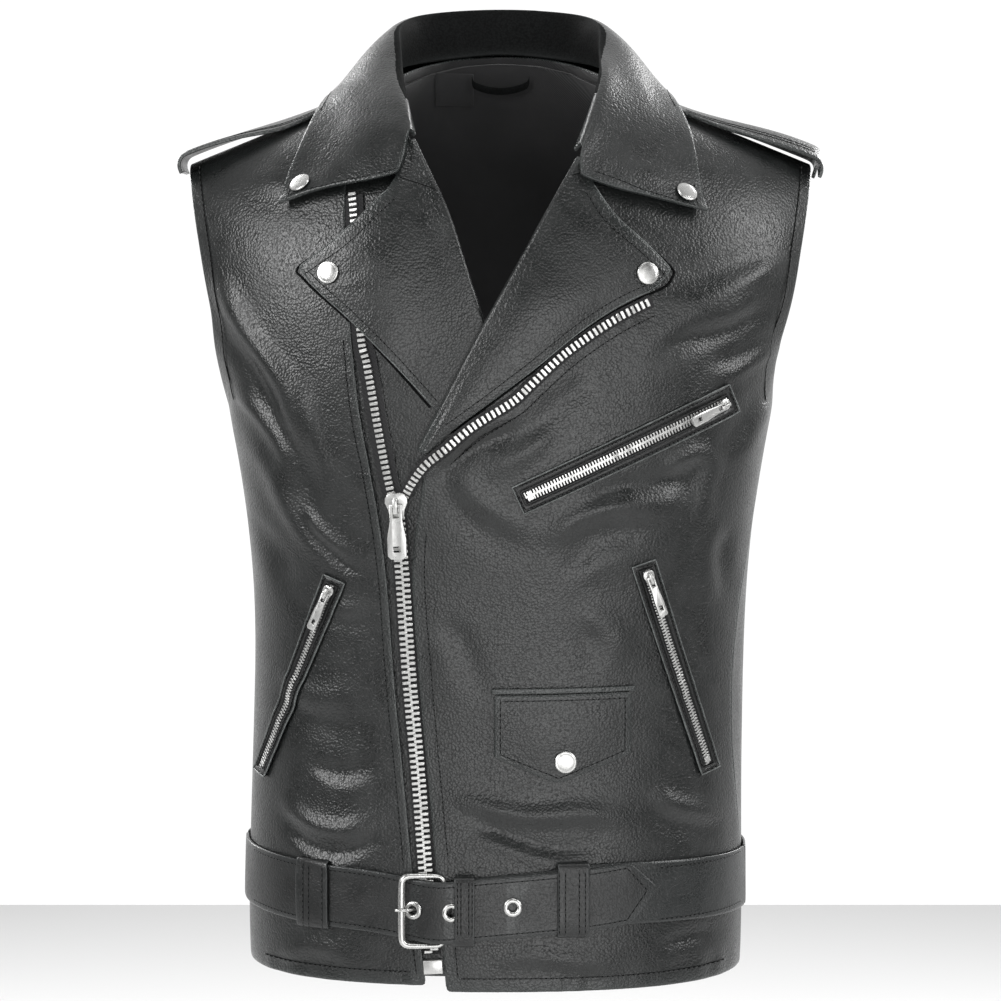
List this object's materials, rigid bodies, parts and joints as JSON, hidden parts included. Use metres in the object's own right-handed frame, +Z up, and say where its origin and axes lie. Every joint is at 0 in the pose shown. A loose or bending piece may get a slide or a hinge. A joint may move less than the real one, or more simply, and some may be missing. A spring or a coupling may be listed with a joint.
{
  "type": "leather vest",
  "caption": "Sleeveless leather motorcycle vest with an off-centre front zip, notched snap-down lapels and collar, zipped pockets, a snapped flap, shoulder straps and its own buckled belt.",
  "frame": {"origin": "midway between the two points where the shoulder seams meet the neck", "axes": "+Z up, the front faces -Y, +X to the wearer's left"},
  "size_m": [0.4386, 0.2397, 0.6582],
  "materials": {
    "leather": "black pebbled leather with a soft sheen",
    "lining": "black woven twill lining",
    "zip_metal": "bright metal zip teeth on black tape",
    "bright_metal": "polished nickel plate"
  },
  "bodies": {
    "vest": {"front_right": "leather", "front_right_facing": "leather", "front_left": "leather", "back": "leather", "lapel_right": "leather", "lapel_left": "leather", "collar": "leather", "shoulder_strap_right": "leather", "shoulder_strap_left": "leather", "hand_right_welt": "leather", "hand_left_welt": "leather", "chest_welt": "leather", "flap": "leather", "flap_tuck": "leather", "belt_strap": "leather", "belt_strip_left": "leather", "belt_back": "leather", "belt_loop_right": "leather", "belt_loop_middle": "leather", "belt_loop_left": "leather", "back_lining": "lining", "main_zip_closed": "zip_metal", "main_zip_right": "zip_metal", "main_zip_left": "zip_metal", "hand_right_zip": "zip_metal", "hand_left_zip": "zip_metal", "chest_zip": "zip_metal", "main_zip_box": "bright_metal", "main_zip_slider": "bright_metal", "hand_right_slider": "bright_metal", "hand_left_slider": "bright_metal", "chest_slider": "bright_metal", "flap_snap": "bright_metal", "lapel_right_snap": "bright_metal", "lapel_left_snap": "bright_metal", "collar_right_snap": "bright_metal", "collar_left_snap": "bright_metal", "eyelet_1": "bright_metal", "eyelet_2": "bright_metal", "eyelet_3": "bright_metal", "buckle_frame": "bright_metal", "buckle_tongue": "bright_metal"},
    "main_zip_pull_tab": {"main_zip_pull": "bright_metal"},
    "hand_right_pull_tab": {"hand_right_pull": "bright_metal"},
    "hand_left_pull_tab": {"hand_left_pull": "bright_metal"},
    "chest_pull_tab": {"chest_pull": "bright_metal"}
  },
  "joints": [
    {"name": "main_zip_pull_hinge", "type": "hinge", "parent": "vest", "child": "main_zip_pull_tab", "pos_m": [-0.06861, -0.11799, -0.28341], "axis": [-0.9838, 0.1761, -0.0348], "range_deg": [0, 150]},
    {"name": "hand_right_pull_hinge", "type": "hinge", "parent": "vest", "child": "hand_right_pull_tab", "pos_m": [-0.11548, -0.0993, -0.34302], "axis": [-0.8288, 0.361, 0.4275], "range_deg": [0, 150]},
    {"name": "hand_left_pull_hinge", "type": "hinge", "parent": "vest", "child": "hand_left_pull_tab", "pos_m": [0.09887, -0.10696, -0.33206], "axis": [-0.8914, -0.2833, -0.3537], "range_deg": [0, 150]},
    {"name": "chest_pull_hinge", "type": "hinge", "parent": "vest", "child": "chest_pull_tab", "pos_m": [0.14841, -0.09293, -0.21902], "axis": [-0.2492, -0.2587, 0.9333], "range_deg": [0, 150]}
  ]
}
